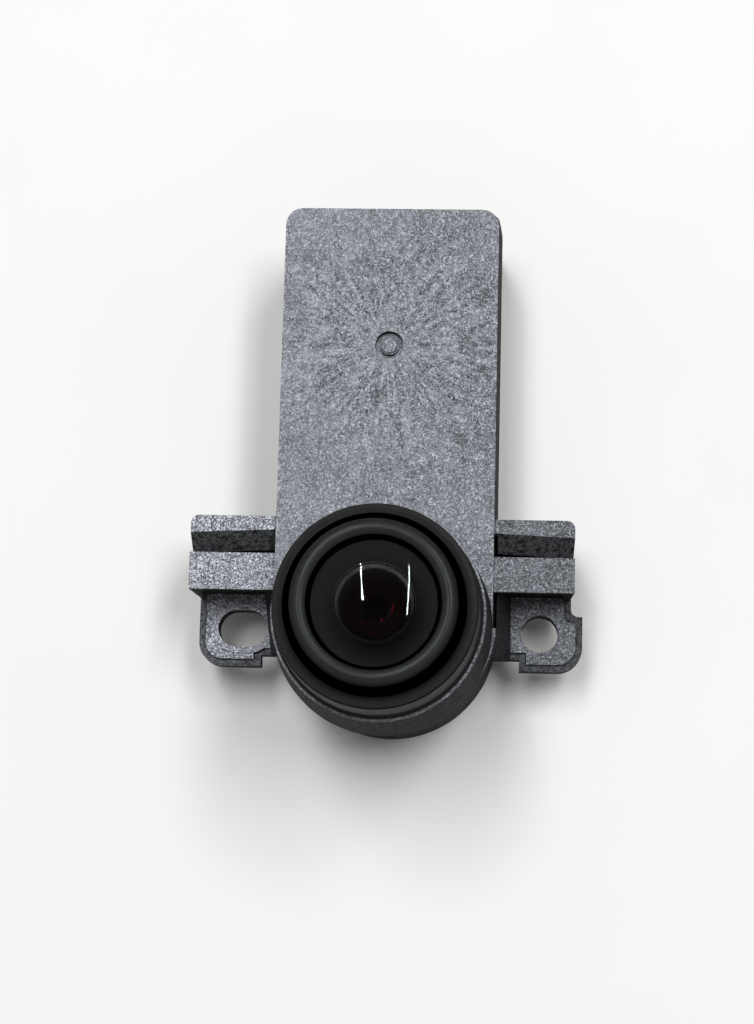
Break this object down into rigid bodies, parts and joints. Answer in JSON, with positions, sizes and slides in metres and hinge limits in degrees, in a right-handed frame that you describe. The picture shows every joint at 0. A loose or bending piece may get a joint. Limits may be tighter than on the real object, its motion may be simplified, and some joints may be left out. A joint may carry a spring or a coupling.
{
  "type": "backup camera",
  "caption": "Vehicle backup camera module: long flat body with a domed lens drum at one end, a slotted ear and a drilled ear at its sides, and a wiring socket in its far end.",
  "frame": {"origin": "on the lens axis, in the resting face of the rear cover", "axes": "+Z along the lens axis out of the front, +Y towards the long end of the body, +X to the right seen from the front"},
  "size_m": [0.0473, 0.0641, 0.0394],
  "materials": {
    "housing_plastic": "glass-filled nylon, fine mottled grain with a grey sheen",
    "cover_plastic": "fine moulded grain",
    "collar_plastic": "fine grain, dark",
    "bezel_plastic": "smooth satin",
    "mask_black": "flat black",
    "holder_plastic": "flat black",
    "connector_plastic": "satin black",
    "socket_ivory": "satin ivory",
    "chip_black": "fine matt moulding compound",
    "coil_ferrite": "ferrite",
    "capacitor_ceramic": "ceramic",
    "board_green": "solder mask over glass laminate",
    "barrel_aluminium": "black anodised",
    "lens_glass": "polished, coated",
    "filter_glass": "coated filter",
    "seal_rubber": "matt",
    "pad_silicone": "soft matt",
    "vent_fabric": "fine porous membrane",
    "screw_steel": "plated",
    "can_steel": "tinned sheet",
    "terminal_gold": "plated"
  },
  "bodies": {
    "root": {"front_housing": "housing_plastic", "rear_cover": "cover_plastic", "cover_seal": "seal_rubber", "cover_screws": "screw_steel", "vent_membrane": "vent_fabric", "lens_collar": "collar_plastic", "collar_seal": "seal_rubber", "lens_bezel": "bezel_plastic", "lens_barrel": "barrel_aluminium", "lens_seal": "seal_rubber", "front_lens": "lens_glass", "mask_ring": "mask_black", "second_lens": "lens_glass", "lens_spacer": "mask_black", "third_lens": "lens_glass", "aperture_stop": "mask_black", "fourth_lens": "lens_glass", "rear_lens": "lens_glass", "lens_lock_ring": "barrel_aluminium", "infrared_filter": "filter_glass", "lens_holder": "holder_plastic", "sensor_screws": "screw_steel", "sensor_glass": "lens_glass", "image_sensor": "chip_black", "sensor_board": "board_green", "board_plug": "holder_plastic", "board_socket": "socket_ivory", "main_board": "board_green", "shield_can": "can_steel", "thermal_pad": "pad_silicone", "image_processor": "chip_black", "video_transmitter": "chip_black", "memory_chip": "chip_black", "power_coils": "coil_ferrite", "capacitors": "capacitor_ceramic", "crystal": "can_steel", "board_screws": "screw_steel", "connector_body": "connector_plastic", "connector_terminals": "terminal_gold"}
  },
  "joints": []
}
